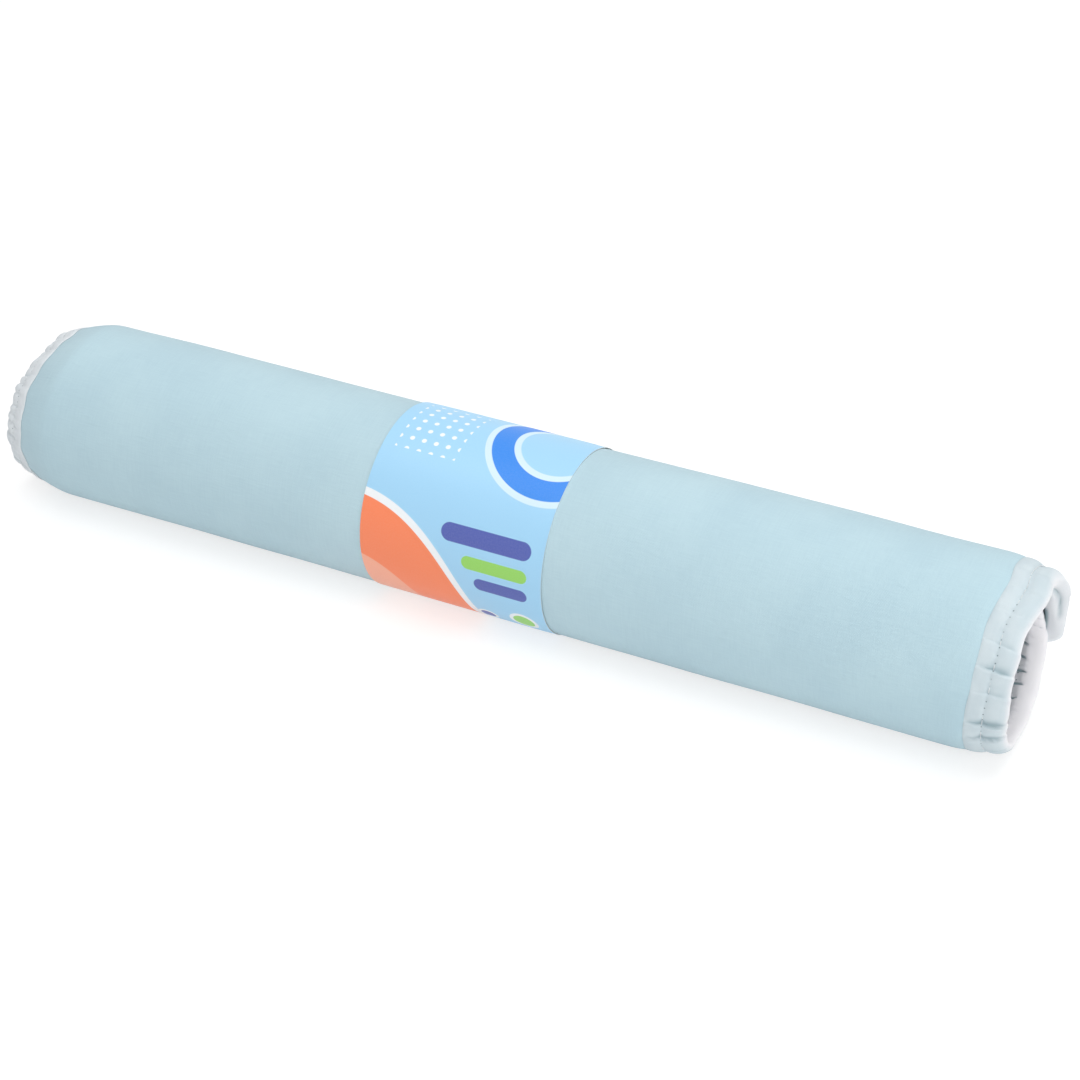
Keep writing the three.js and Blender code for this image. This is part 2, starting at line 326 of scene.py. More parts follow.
def sheet_columns(length, inset, edge_columns, middle_columns):
    """Distances across the cover for each row: close together near both edges."""
    half = half_width_at(length)[:, None] - inset
    zone = np.minimum(EDGE_ZONE, EDGE_ZONE_MOST * half)
    edge = np.linspace(0.0, 1.0, edge_columns)[None, :]
    middle = np.linspace(-1.0, 1.0, middle_columns)[None, 1:-1]
    left = -half + zone * edge
    right = half - zone * edge[:, ::-1]
    return np.concatenate([left, middle * (half - zone), right], axis=1)


def wound_sheet(
    name, length, inset, depth, thickness, edge_columns=9, middle_columns=14, tuck=0.0
):
    """One layer of the cover, wound up; past the seams it is tucked under the hem."""
    across = sheet_columns(length, inset, edge_columns, middle_columns)
    along = np.broadcast_to(length[:, None], across.shape)
    past_seam = np.maximum(np.abs(across) - seam_at(along), HEM_WIDTH - along)
    cloth, column, row = flat_cloth(name, across.shape[1], across.shape[0])
    places = wind_up(across, along, depth + tuck * ease(TUCK_FROM, TUCK_UNTIL, past_seam))
    lay_out(cloth, column, row, places, across, along)
    give_thickness(cloth, thickness, turn_over=True)
    return cloth


OUTER_TURN = float(length_at(TURN))
cotton = wound_sheet(
    "cotton_face",
    row_lengths(
        COTTON_INSET,
        COVER_LENGTH,
        fine_step=1.4,
        fine_until=OUTER_TURN + 20.0,
        coarse_step=3.6,
    ),
    COTTON_INSET,
    depth=0.0,
    thickness=COTTON_THICKNESS,
    edge_columns=19,
    middle_columns=30,
    tuck=COTTON_TUCK,
)
pad_length = row_lengths(
    PAD_INSET,
    COVER_LENGTH - PAD_SHORT_OF_NOSE,
    fine_step=3.0,
    fine_until=OUTER_TURN,
    coarse_step=4.5,
)
foam = wound_sheet("foam_sheet", pad_length, PAD_INSET, FOAM_DEPTH, FOAM_THICKNESS)
felt = wound_sheet("felt_sheet", pad_length, PAD_INSET, FELT_DEPTH, FELT_THICKNESS)

# The hem: a casing of thin cloth, folded over its elastic. Its section runs from the edge that is
# turned in at the seam, over the outer leaf, round the rim and back along the inner leaf to the
# tongue. Each place is mm out from the seam, depth where it stands full, depth where it is pressed.
HEM_SECTION = np.array(
    (
        (1.6, 0.32, 0.42),
        (0.3, 0.30, 0.40),
        (-0.25, 0.0, 0.15),
        (0.5, -0.3, -0.05),
        (2.4, -0.48, -0.08),
        (4.6, -0.52, -0.05),
        (6.3, -0.35, 0.08),
        (7.2, -0.10, 0.35),
        (8.1, -0.40, 0.10),
        (9.8, -0.85, -0.05),
        (12.3, -1.15, -0.10),
        (14.8, -0.85, 0.02),
        (16.8, 0.05, 0.45),
        (17.9, 1.60, 1.50),
        (17.2, 3.20, 2.50),
        (15.2, 4.30, 2.95),
        (12.3, 4.70, 3.10),
        (9.8, 4.20, 2.95),
        (8.1, 2.90, 2.45),
        (7.2, 2.10, 2.10),
        (6.0, 1.90, 1.95),
        (3.0, 1.70, 1.75),
        (-2.0, 1.45, 1.50),
        (-7.0, 1.35, 1.40),
    )
)
HEM_RIM_PLACE = 13
HEM_MIDDLE_DEPTH = 1.0
HEM_SPANS = np.concatenate(
    [
        np.linspace(0.0, 6.0, 9, endpoint=False),
        np.linspace(6.0, 12.0, 10, endpoint=False),
        np.linspace(12.0, 17.0, 17, endpoint=False),
        np.linspace(17.0, 22.999, 7),
    ]
)

# The gathers: lengths along the hem, slants, and heights
GATHER_LENGTH = 6.2
SCALLOP_LENGTH = 1.6 * GATHER_LENGTH
TAIL_GATHER_LENGTH = 2.2 * GATHER_LENGTH
RIB_SLANT = 0.25
SCALLOP_SLANT = 0.2
INNER_RIB = 0.45
WOUND_RIB = 1.15
TAIL_RIB = 0.4
SLOW_WAVE = 0.16
SLOW_WAVE_SHORT = 23.0
SLOW_WAVE_LONG = 41.0
UNDERSIDE_CALM = 0.75

# The casing stands full on the outer turn and is pressed on the inner ones: turns from the tail
FULL_UNTIL = 0.97
INNER_TURN_FROM = 1.12
PRESSED_FROM = 1.2
PRESSED_BY = 0.85

# Stretches of the outer turn: degrees between which each one rises, and between which it falls
PINCHED_TOP = ((28.0, 48.0), (95.0, 118.0))
NEAR_SIDE = ((95.0, 125.0), (160.0, 188.0))
UNDERSIDE = ((222.0, 240.0), (312.0, 335.0))

# How far a form reaches over the casing: mm out from the seam, and the share or the mm there
OUTER_REACH = ((-4.0, 3.0, 7.5, 12.0, 18.0), (0.0, 0.35, 1.0, 0.9, 0.7))
INNER_REACH = ((-6.0, 2.0, 7.2, 10.5, 14.0), (0.0, 0.6, 1.0, 0.8, 0.0))
TAIL_REACH = ((-4.0, 3.0, 7.5, 12.0, 18.0), (0.0, 0.3, 0.9, 1.0, 0.8))
PLEAT_REACH = ((-1.0, 3.0, 7.5, 12.0, 17.5), (0.15, 0.55, 0.85, 1.0, 0.45))
NOTCH_SINK = ((3.0, 7.0, 9.5, 13.0), (0.3, 0.7, 1.4, 1.5))
LOBE_BULGE = ((-6.0, 3.0, 6.0, 8.0, 11.0, 13.5, 15.8), (0.0, 0.2, 0.6, 1.3, 1.8, 1.3, 0.0))

# The stitch row, which pulls the casing in
STITCH_SPACING = 3.4
ROW_SINK = 0.12
ROW_WIDTH = 0.8
HOLE_SINK = 0.4
HOLE_WIDTH = 0.7
PINCH_WIDTH = 2.4

# The tail corner, which is rounded and closed, and the lobe that its inner leaf swells to. The
# lobe's crease is mm from the tail and the place along the section there. Other pairs are mm
# between which a form goes from none to full.
CORNER_OVERHANG = 2.5
CORNER_TIP = 0.05
CORNER_ROUNDING = 9.0
CORNER_CLOSING = 7.0
CORNER_TUCK = -0.4
LOBE_LENGTH = 70.0
LOBE_FADE = 15.0
LOBE_CALM = 0.85
LOBE_SWELLS = (14.0, 28.0)
LOBE_THICKENING = 2.8
LOBE_THICKENS = (0.0, 26.0)
LOBE_PIT = 0.2
PIT_ACROSS = (12.6, 10.4)
PIT_STARTS = (5.0, 13.0)
PIT_ENDS = (27.0, 19.0)
LOBE_CREASE = ((14.0, 22.0, 32.0, 45.0, 60.0), (14.5, 14.5, 14.7, 15.0, 15.4))
CREASE_SINK = 1.3
CREASE_STARTS = (LOBE_CREASE[0][0], LOBE_CREASE[0][0] + 6.0)
CREASE_ENDS = (LOBE_CREASE[0][-1], LOBE_CREASE[0][-1] - 8.0)

# Places along the section between which a share goes from none to full. On the edge that is
# turned in at the seam, heights point the other way, and flip so that both leaves move together.
INNER_LEAF_PLACES = (HEM_RIM_PLACE - 0.5, HEM_RIM_PLACE + 1.5)
TURNED_IN_PLACES = (2.8, 1.2)
TURNED_IN_FLIP = 1.6
THICK_FROM_PLACES = (HEM_RIM_PLACE - 0.2, HEM_RIM_PLACE + 2.5)
THICK_UNTIL_PLACES = (HEM_RIM_PLACE + 4.5, HEM_RIM_PLACE + 8.0)
WHITE_BACK_PLACES = (HEM_RIM_PLACE - 2.2, HEM_RIM_PLACE + 0.3)

# How much painted shade each fold gets, and where a form is deep enough to have it
RIB_VALLEY = (0.15, 0.95)
PLEAT_VALLEY = (0.25, 1.2)
ROOT_VALLEY = (9.0, 6.0)
INNER_RIB_SHADE = 0.05
TAIL_RIB_SHADE = 0.4
NOTCH_SHADE = 0.95
ROOT_SHADE = 0.75
PIT_SHADE = 0.8
CREASE_SHADE = 0.6
PLEAT_SHADE = 0.5


def smooth_section(places, span):
    """A soft curve through the section's places, at spans counted in places from the first."""
    index = span.astype(int)
    share = (span - index)[:, None]
    last = len(places) - 1
    before = places[np.maximum(index - 1, 0)]
    start = places[index]
    end = places[np.minimum(index + 1, last)]
    after = places[np.minimum(index + 2, last)]
    return 0.5 * (
        2.0 * start
        + (end - before) * share
        + (2.0 * before - 5.0 * start + 4.0 * end - after) * share**2
        + (3.0 * start - 3.0 * end + after - before) * share**3
    )


def gathers(along, wave_length, seed):
    """Uneven gathers along a hem: round ridges with narrow valleys, from -1 to 1."""
    chance = np.random.default_rng(seed)

    def slow_wave(times):
        return np.sin(along / (wave_length * times) * TURN + chance.uniform(0, TURN))

    drift = 0.0
    for times in (1.9, 3.3, 5.7):
        drift = drift + 0.55 * slow_wave(times)
    ridge = np.abs(np.sin(math.pi * along / wave_length + drift))
    height = 0.75 + 0.25 * slow_wave(2.6)
    return (2.0 * ridge**0.6 - 1.0) * height


PLEAT_SINKS_OVER = 3.4
PLEAT_STAND = 0.45
PLEAT_SETTLES_OVER = 3.0
PLEAT_STEP = 0.55


def knife_pleats(along, out, pleats):
    """Single pleats: the cloth sinks slowly to a crease, then stands up again at once.
    Each is degrees round the roll, degrees of slant from the seam to the rim, depth."""
    reach = eased_through(out, *PLEAT_REACH)
    height = 0.0
    for degrees, slant, depth in pleats:
        past = along - length_at_angle(degrees + slant * (out - HEM_WIDTH / 2.0) / HEM_WIDTH)
        sink = -np.exp(np.minimum(past, 0.0) / PLEAT_SINKS_OVER)
        stand = PLEAT_STAND * np.exp(-np.maximum(past, 0.0) / PLEAT_SETTLES_OVER)
        step = ease(-PLEAT_STEP, PLEAT_STEP, past)
        height = height + depth * reach * (sink + (stand - sink) * step)
    return height


RIGHT_PLEATS = (
    (-6.0, 0.0, 0.5),
    (20.0, 2.0, 0.6),
    (43.0, -2.0, 0.8),
    (64.0, 1.0, 0.8),
    (83.0, -1.5, 0.6),
    (101.0, 1.0, 0.5),
    (119.0, 1.0, 0.35),
    (138.5, 3.5, 0.85),
    (153.5, 2.0, 1.5),
    (167.5, 0.5, 0.9),
    (189.0, -1.0, 1.9),
    (202.0, -5.0, 1.6),
    (224.0, 1.0, 0.7),
    (243.0, -2.0, 0.7),
    (262.0, 1.0, 0.5),
    (283.0, -1.0, 0.35),
    (304.0, 2.0, 0.3),
    (324.0, -1.0, 0.35),
    (345.0, 1.0, 0.5),
)
LEFT_PLEATS = (
    (10.0, 1.0, 0.7),
    (38.0, -1.0, 0.9),
    (72.0, 2.0, 0.8),
    (104.0, -2.0, 0.7),
    (131.0, 1.0, 0.9),
    (158.0, 1.0, 0.7),
    (186.0, -1.0, 0.9),
    (214.0, 2.0, 1.0),
    (247.0, -2.0, 0.35),
    (281.0, 1.0, 0.4),
    (318.0, -1.0, 0.4),
)

# Notches where the elastic bunches the inner leaf: mm from the tail, mm from the seam to the tip
NOTCHES = (
    (264.3, 10.9),
    (257.7, 10.8),
    (251.0, 12.3),
    (244.6, 12.4),
    (237.0, 11.0),
    (229.8, 8.4),
    (223.4, 8.6),
    (216.1, 9.2),
    (209.0, 11.8),
    (202.3, 10.6),
    (194.8, 11.4),
    (187.9, 10.1),
    (180.7, 11.9),
    (173.2, 10.7),
    (166.8, 11.2),
    (159.4, 10.3),
    (152.6, 11.7),
    (145.1, 10.8),
    (138.3, 11.3),
    (130.9, 10.2),
    (124.0, 11.6),
    (116.6, 10.5),
    (109.8, 11.1),
)
NOTCH_ROOT = 5.0
NOTCH_FADE = (3.0, 6.0)
NOTCH_TIP_HALF = 0.25
NOTCH_SPREAD = 1.15


def notch_mask(along, out):
    """1 in the middle of each notch and 0 outside; a notch narrows from its root to its tip."""
    mask = 0.0
    for place, tip in NOTCHES:
        from_tip = np.clip((tip - out) / (tip - NOTCH_ROOT), 0.0, 1.0)
        half_width = NOTCH_TIP_HALF + NOTCH_SPREAD * from_tip
        inside = np.clip(1.0 - ((along - place) / half_width) ** 2, 0.0, 1.0)
        mask = np.maximum(mask, inside * ease(0.0, 0.3, from_tip))
    return mask


def hem_places(fullness):
    """The hem's section for each row: mm out, depth, and its outward direction; fullness is 1 where
    the casing stands full and 0 where it is pressed."""
    section = smooth_section(HEM_SECTION, HEM_SPANS)
    out = np.broadcast_to(section[None, :, 0], (len(fullness), len(HEM_SPANS)))
    full = fullness[:, None]
    depth = section[None, :, 1] * full + section[None, :, 2] * (1.0 - full)
    along_out = np.gradient(out, axis=1)
    along_depth = np.gradient(depth, axis=1)
    size = np.hypot(along_out, along_depth) + 1e-9
    return out, depth, along_depth / size, -along_out / size


def stitch_dimples(along, out):
    """The stitch row pulls the casing in, most at each needle hole."""
    hole = np.abs(np.mod(along, STITCH_SPACING) - STITCH_SPACING / 2.0)
    row = bell(out - STITCH_LINE, ROW_WIDTH)
    return -row * (ROW_SINK + HOLE_SINK * bell(hole, HOLE_WIDTH))


def outer_leaf_share(span):
    """1 on the casing's outer leaf and 0 on its inner one, by place along the section."""
    return 1.0 - ease(*INNER_LEAF_PLACES, span)


class SideCasing:
    """The hem of one long side before it is wound up: rows along the cover and columns along the
    section. Shares run from 0 to 1, and height is mm outwards from the section."""

    def __init__(self, length, seed):
        turns = wound_at(length) / TURN
        fullness = 1.0 - PRESSED_BY * ease(FULL_UNTIL, PRESSED_FROM, turns)
        self.seed = seed
        self.out, self.depth, self.normal_out, self.normal_depth = hem_places(fullness)
        self.along = np.broadcast_to(length[:, None], self.out.shape)
        self.span = HEM_SPANS[None, :]
        self.inner_turn = ease(FULL_UNTIL, INNER_TURN_FROM, turns)[:, None]
        self.first_turn = 1.0 - self.inner_turn
        self.outer_leaf = outer_leaf_share(self.span)
        self.inner_leaf = 1.0 - self.outer_leaf
        self.lobe = 1.0 - ease(LOBE_LENGTH - LOBE_FADE, LOBE_LENGTH + LOBE_FADE, self.along)
        self.beside_lobe = 1.0 - LOBE_CALM * self.lobe
        self.outer_reach = eased_through(self.out, *OUTER_REACH)
        self.inner_reach = eased_through(self.out, *INNER_REACH)
        self.ribs = gathers(self.along + RIB_SLANT * self.out, GATHER_LENGTH, seed)
        self.notches = notch_mask(self.along, self.out) * self.inner_leaf * self.first_turn
        self.notches = self.notches * ease(*NOTCH_FADE, self.out)

    def gather(self, outer_gather):
        """Scallops on the outer leaf, ribs and notches on the inner one, ribs on inner turns."""
        scallops = gathers(self.along + SCALLOP_SLANT * self.out, SCALLOP_LENGTH, self.seed + 1)
        calm = 1.0 - UNDERSIDE_CALM * on_stretch(self.along, *UNDERSIDE)
        outer = outer_gather * calm * scallops * self.outer_reach * self.outer_leaf
        inner = INNER_RIB * self.ribs * self.inner_reach * self.inner_leaf * self.first_turn
        self.height = outer * self.first_turn + inner * self.beside_lobe
        self.height = self.height - self.notches * eased_through(self.out, *NOTCH_SINK)
        self.height = self.height + WOUND_RIB * self.ribs * self.outer_reach * self.inner_turn

    def pleat(self, pleats, dimple, top_pinch):
        """Knife pleats, the pull of the stitch row, slow waves, and a pinch along the top."""
        self.pleats = knife_pleats(self.along, self.out, pleats) * self.outer_leaf * self.first_turn
        pull = dimple * stitch_dimples(self.along, self.out) * self.outer_leaf
        slow = np.sin(self.along / SLOW_WAVE_SHORT * TURN + self.seed)
        slow = slow + 0.7 * np.sin(self.along / SLOW_WAVE_LONG * TURN + 2.0 * self.seed)
        pinch = top_pinch * on_stretch(self.along, *PINCHED_TOP)
        pinch = pinch * bell(self.out - STITCH_LINE, PINCH_WIDTH) * self.outer_leaf
        self.height = self.height + self.pleats + pull
        self.height = self.height + SLOW_WAVE * slow * self.outer_reach - pinch

    def fold_lobe(self):
        """The lobe at the tail corner: a swollen inner leaf, a pit at its root and one crease."""
        bulge = eased_through(self.out, *LOBE_BULGE) * ease(*LOBE_SWELLS, self.along)
        self.pit = ease(*PIT_ACROSS, self.out) * ease(*PIT_STARTS, self.along)
        self.pit = self.pit * ease(*PIT_ENDS, self.along) * self.inner_leaf
        past = self.span - np.interp(self.along, *LOBE_CREASE)
        self.crease = np.exp(-((np.maximum(past, 0.0) / 0.2) ** 2) + np.minimum(past, 0.0) / 0.45)
        self.crease = self.crease * ease(*CREASE_STARTS, self.along)
        self.crease = self.crease * ease(*CREASE_ENDS, self.along)
        self.height = self.height + self.lobe * bulge * self.inner_leaf - LOBE_PIT * self.pit
        self.height = self.height - CREASE_SINK * self.crease

    def places(self, take_in):
        """Each corner's mm out from the seam and depth; the near side is taken in by a share."""
        turned_in = ease(*TURNED_IN_PLACES, self.span)
        height = self.height * (1.0 - TURNED_IN_FLIP * turned_in)
        out = self.out + height * self.normal_out
        depth = self.depth + height * self.normal_depth
        thick = ease(*THICK_FROM_PLACES, self.span) * (1.0 - ease(*THICK_UNTIL_PLACES, self.span))
        depth = depth + LOBE_THICKENING * self.lobe * thick * ease(*LOBE_THICKENS, self.along)
        from_end = self.along + CORNER_OVERHANG
        taken_in = 1.0 - take_in * on_stretch(self.along, *NEAR_SIDE)
        narrowed = out * quarter_round(from_end / CORNER_ROUNDING) * taken_in
        out = np.where(out > 0.0, narrowed, out)
        out = np.where(self.along < HEM_WIDTH + HEM_TONGUE, np.maximum(out, CORNER_TUCK), out)
        closed = quarter_round(from_end / CORNER_CLOSING)
        return out, HEM_MIDDLE_DEPTH + (depth - HEM_MIDDLE_DEPTH) * closed

    def valleys(self):
        """How much painted shade each corner gets: the finish darkens ribs, notches, the lobe's
        root, the pit, the crease and the pleats towards teal, for the shade that falls in these
        folds.
        """
        inner_ribs = INNER_RIB_SHADE * self.inner_reach * self.inner_leaf
        painted_shade = ease(*RIB_VALLEY, -self.ribs) * np.maximum(inner_ribs, self.inner_turn)
        painted_shade = painted_shade * self.beside_lobe
        root = ease(*ROOT_VALLEY, self.out) * self.inner_leaf * self.first_turn
        for fold in (
            NOTCH_SHADE * self.notches,
            ROOT_SHADE * self.lobe * root,
            PIT_SHADE * self.pit,
            CREASE_SHADE * self.crease,
            PLEAT_SHADE * ease(*PLEAT_VALLEY, -self.pleats),
        ):
            painted_shade = np.maximum(painted_shade, fold)
        return painted_shade

    def white_back(self, least):
        """How much of the casing's white back shows; on the lobe it starts sooner and is duller."""
        start = WHITE_BACK_PLACES[0] - 2.0 * self.lobe
        end = WHITE_BACK_PLACES[1] - 1.2 * self.lobe
        return np.maximum(ease(start, end, self.span) * (1.0 - 0.4 * self.lobe), least)


def side_hem(name, side, length, pleats, outer_gather, dimple, top_pinch, take_in, whiter, seed):
    """One long side's hem; side is 1 at the roll's right end and -1 at its left."""
    casing = SideCasing(length, seed)
    casing.gather(outer_gather)
    casing.pleat(pleats, dimple, top_pinch)
    casing.fold_lobe()
    out, depth = casing.places(take_in)
    places = wind_up(side * (seam_at(casing.along) + out), casing.along, depth)
    hem, column, row = flat_cloth(name, out.shape[1], out.shape[0])
    lay_out(hem, column, row, places, out, casing.along)
    # Painted shade for the folds, which the finish darkens towards teal
    mark(hem, column, row, "painted_crease_shade", casing.valleys())
    mark(hem, column, row, "inner_leaf", casing.white_back(whiter))
    give_thickness(hem, HEM_CLOTH, turn_over=side > 0)
    return hem


hem_right = side_hem(
    "hem_right",
    1.0,
    row_lengths(
        CORNER_TIP - CORNER_OVERHANG,
        COVER_LENGTH,
        fine_step=0.65,
        fine_until=1.9 * OUTER_TURN,
        coarse_step=2.8,
    ),
    RIGHT_PLEATS,
    outer_gather=0.12,
    dimple=0.6,
    top_pinch=0.6,
    take_in=0.085,
    whiter=0.0,
    seed=11,
)
hem_left = side_hem(
    "hem_left",
    -1.0,
    row_lengths(
        CORNER_TIP - CORNER_OVERHANG,
        COVER_LENGTH,
        fine_step=0.8,
        fine_until=1.3 * OUTER_TURN,
        coarse_step=2.6,
    ),
    LEFT_PLEATS,
    outer_gather=0.7,
    dimple=0.35,
    top_pinch=0.0,
    take_in=0.0,
    whiter=0.45,
    seed=23,
)

# The sleeve's place, which the tail's hem is pressed under
sleeve_low, sleeve_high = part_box("paper_sleeve")
SLEEVE_MIDDLE = ((sleeve_low[0] + sleeve_high[0]) / 2.0 - AXIS[0]) / MM
SLEEVE_WIDTH = (sleeve_high[0] - sleeve_low[0]) / MM

# The tail's hem
TAIL_HEM_ROWS = 620
TAIL_HEM_OVERLAP = 1.2
CLEAR_OF_SLEEVE = (3.0, 16.0)
CLEAR_OF_CORNER = (0.0, 14.0)


def tail_hem(name, seed):
    """The casing across the tail, pressed under the sleeve and at both corners."""
    reach = TAIL_SEAM + TAIL_HEM_OVERLAP
    across = np.linspace(-reach, reach, TAIL_HEM_ROWS)
    clear = np.abs(across - SLEEVE_MIDDLE) - SLEEVE_WIDTH / 2.0
    fullness = ease(*CLEAR_OF_SLEEVE, clear) * ease(*CLEAR_OF_CORNER, TAIL_SEAM - np.abs(across))
    out, depth, normal_out, normal_depth = hem_places(fullness)
    along = np.broadcast_to(across[:, None], out.shape)
    outer_leaf = outer_leaf_share(HEM_SPANS[None, :])
    ribs = gathers(along + RIB_SLANT * out, TAIL_GATHER_LENGTH, seed)
    rib_reach = eased_through(out, *TAIL_REACH)
    height = TAIL_RIB * ribs * rib_reach * fullness[:, None]
    height = height + stitch_dimples(along, out) * outer_leaf
    out = out + height * normal_out
    depth = depth + height * normal_depth
    hem, column, row = flat_cloth(name, out.shape[1], out.shape[0])
    lay_out(hem, column, row, wind_up(along, HEM_WIDTH - out, depth), out, along)
    # Painted shade in the valleys between the tail casing's ribs
    mark(hem, column, row, "painted_crease_shade", TAIL_RIB_SHADE * ease(*RIB_VALLEY, -ribs) * rib_reach)
    mark(hem, column, row, "inner_leaf", np.broadcast_to(1.0 - outer_leaf, out.shape))
    give_thickness(hem, HEM_CLOTH, turn_over=True)
    return hem


hem_tail = tail_hem("hem_tail", seed=37)

# The elastic in the casing's channel
ELASTIC_RADIUS = 0.95
ELASTIC_SIDES = 8
CHANNEL_OUT = 12.4
CHANNEL_DEPTH = 1.75
ELASTIC_FROM_TAIL = 14.0
ELASTIC_SHORTER = 24.0
ELASTIC_TAIL_INSET = 2.0


def elastic_strand(name, rows, path):
    """A round strand through the channel, closed to a point at both ends."""
    turn = np.linspace(0.0, TURN, ELASTIC_SIDES + 1)[None, :]
    at = np.linspace(0.0, 1.0, rows)[:, None]
    thick = ELASTIC_RADIUS * np.sqrt(np.clip(1.0 - np.abs(2.0 * at - 1.0) ** 60, 0.0, 1.0))
    out = CHANNEL_OUT + thick * np.cos(turn)
    depth = CHANNEL_DEPTH + thick * np.sin(turn)
    along = np.broadcast_to(at, out.shape)
    strand, column, row = flat_cloth(name, out.shape[1], rows)
    lay_out(strand, column, row, path(along, out, depth), turn * np.ones_like(at), along * 1000.0)
    bpy.ops.object.mode_set(mode="EDIT")
    bpy.ops.mesh.select_all(action="SELECT")
    bpy.ops.mesh.remove_doubles(threshold=1e-6)
    bpy.ops.mesh.normals_make_consistent(inside=False)
    bpy.ops.object.mode_set(mode="OBJECT")
    bpy.ops.object.shade_smooth()
    return strand


def side_channel(side):
    def path(along, out, depth):
        length = ELASTIC_FROM_TAIL + along * (COVER_LENGTH - ELASTIC_SHORTER)
        return wind_up(side * (seam_at(length) + out), length, depth)

    return path


def tail_channel(along, out, depth):
    reach = TAIL_SEAM - ELASTIC_TAIL_INSET
    return wind_up((2.0 * along - 1.0) * reach, HEM_WIDTH - out, depth)


elastic_right = elastic_strand("elastic_right_strand", 700, side_channel(1.0))
elastic_left = elastic_strand("elastic_left_strand", 700, side_channel(-1.0))
elastic_tail = elastic_strand("elastic_tail_strand", 120, tail_channel)

# The seam thread: one stitch is modelled and copied along each stitch row
STITCH_LENGTH = 2.7
THREAD_RADIUS = 0.2
STITCH_DIVE = 0.55
STITCH_NARROWING = 0.35
FULL_STITCH_DEPTH = 0.10
PRESSED_STITCH_DEPTH = 0.22
TAIL_STITCH_DEPTH = 0.15
STITCH_SINK = 0.02


def model_stitch():
    """One stitch along X: a short thread whose ends dive into the cloth."""
    bpy.ops.object.select_all(action="DESELECT")
    bpy.ops.mesh.primitive_cylinder_add(
        vertices=6, radius=THREAD_RADIUS * MM, depth=STITCH_LENGTH * MM, end_fill_type="TRIFAN"
    )
    stitch = bpy.context.object
    bpy.ops.transform.rotate(value=math.pi / 2.0, orient_axis="Y", center_override=(0, 0, 0))
    bpy.ops.object.transform_apply(location=True, rotation=True, scale=True)
    bpy.ops.object.mode_set(mode="EDIT")
    third = STITCH_LENGTH * MM / 3.0
    for place in (0.0, third, -third):
        bpy.ops.mesh.select_all(action="SELECT")
        bpy.ops.mesh.bisect(plane_co=(place, 0, 0), plane_no=(1, 0, 0))
    bpy.ops.object.mode_set(mode="OBJECT")
    for corner in stitch.data.vertices:
        reach = abs(corner.co.x) / (STITCH_LENGTH * MM / 2.0)
        corner.co.z -= STITCH_DIVE * MM * reach**3
        corner.co.y *= 1.0 - STITCH_NARROWING * reach**2
    return stitch


def sew(name, stitch, starts, ends, outward):
    """Copy the stitch between each start and end, with its rounded side outwards, and join."""
    bpy.ops.object.select_all(action="DESELECT")
    shape = np.empty(len(stitch.data.vertices) * 3)
    stitch.data.vertices.foreach_get("co", shape)
    shape = shape.reshape(-1, 3)
    for start, end, up in zip(starts, ends, outward):
        forward = (end - start) / np.linalg.norm(end - start)
        beside = np.cross(up, forward)
        beside /= np.linalg.norm(beside)
        frame_axes = np.stack([forward, beside, np.cross(forward, beside)])
        copy = stitch.copy()
        copy.data = stitch.data.copy()
        copy.data.vertices.foreach_set("co", ((start + end) / 2.0 + shape @ frame_axes).ravel())
        bpy.context.scene.collection.objects.link(copy)
        copy.select_set(True)
        bpy.context.view_layer.objects.active = copy
    bpy.ops.object.join()
    thread = bpy.context.object
    thread.name = name
    thread.data.name = name
    bpy.ops.object.shade_smooth()
    return thread


def sew_row(name, stitch, across, length, depth):
    """A row of stitches from needle hole to needle hole of the flat cover."""
    seated = wind_up(across, length, depth)
    lifted = wind_up(across, length, depth - 1.0)
    return sew(name, stitch, seated[:-1], seated[1:], (lifted - seated)[:-1])


def side_stitches(name, stitch, side):
    first = STITCH_SPACING / 2.0 + 3.0 * STITCH_SPACING
    hole = np.arange(first, COVER_LENGTH - 8.0, STITCH_SPACING)
    turns = wound_at(hole) / TURN
    depths = (FULL_STITCH_DEPTH, PRESSED_STITCH_DEPTH)
    depth = np.interp(turns, (FULL_UNTIL, PRESSED_FROM), depths) + STITCH_SINK
    return sew_row(name, stitch, side * (seam_at(hole) + STITCH_LINE), hole, depth)


def tail_stitches(name, stitch):
    hole = np.arange(-TAIL_SEAM + 2.0, TAIL_SEAM - 2.0, STITCH_SPACING)
    length = np.full_like(hole, HEM_WIDTH - STITCH_LINE)
    return sew_row(name, stitch, hole, length, np.full_like(hole, TAIL_STITCH_DEPTH))


stitch = model_stitch()
thread_right = side_stitches("seam_thread_right", stitch, 1.0)
thread_left = side_stitches("seam_thread_left", stitch, -1.0)
thread_tail = tail_stitches("seam_thread_tail", stitch)
bpy.data.objects.remove(stitch)

# The paper sleeve, pulled tight round the roll, with its ends lapped behind
PAPER_THICKNESS = 0.28
PAPER_SMOOTHING = math.radians(40.0)
SLEEVE_GAP = 0.15
SLEEVE_LAP = 15.0
SLEEVE_LAP_LIFT = 0.34
SLEEVE_LOOSE = 0.10
SLEEVE_RIPPLE = 0.09
SLEEVE_EDGE = 9.0
SLEEVE_ROWS = 300
SLEEVE_COLUMNS = 31
TAIL_HEM_RISE = 0.25
LEAN_REACH = 1.5
LAP_ANGLE = -46.0
PRINT_TOP_ANGLE = 57.0


def turns_in(first, second, third):
    """Whether the way from point to point turns inwards at the second, or goes straight on."""
    step = np.subtract(second, first)
    next_step = np.subtract(third, second)
    return step[0] * next_step[1] <= step[1] * next_step[0]


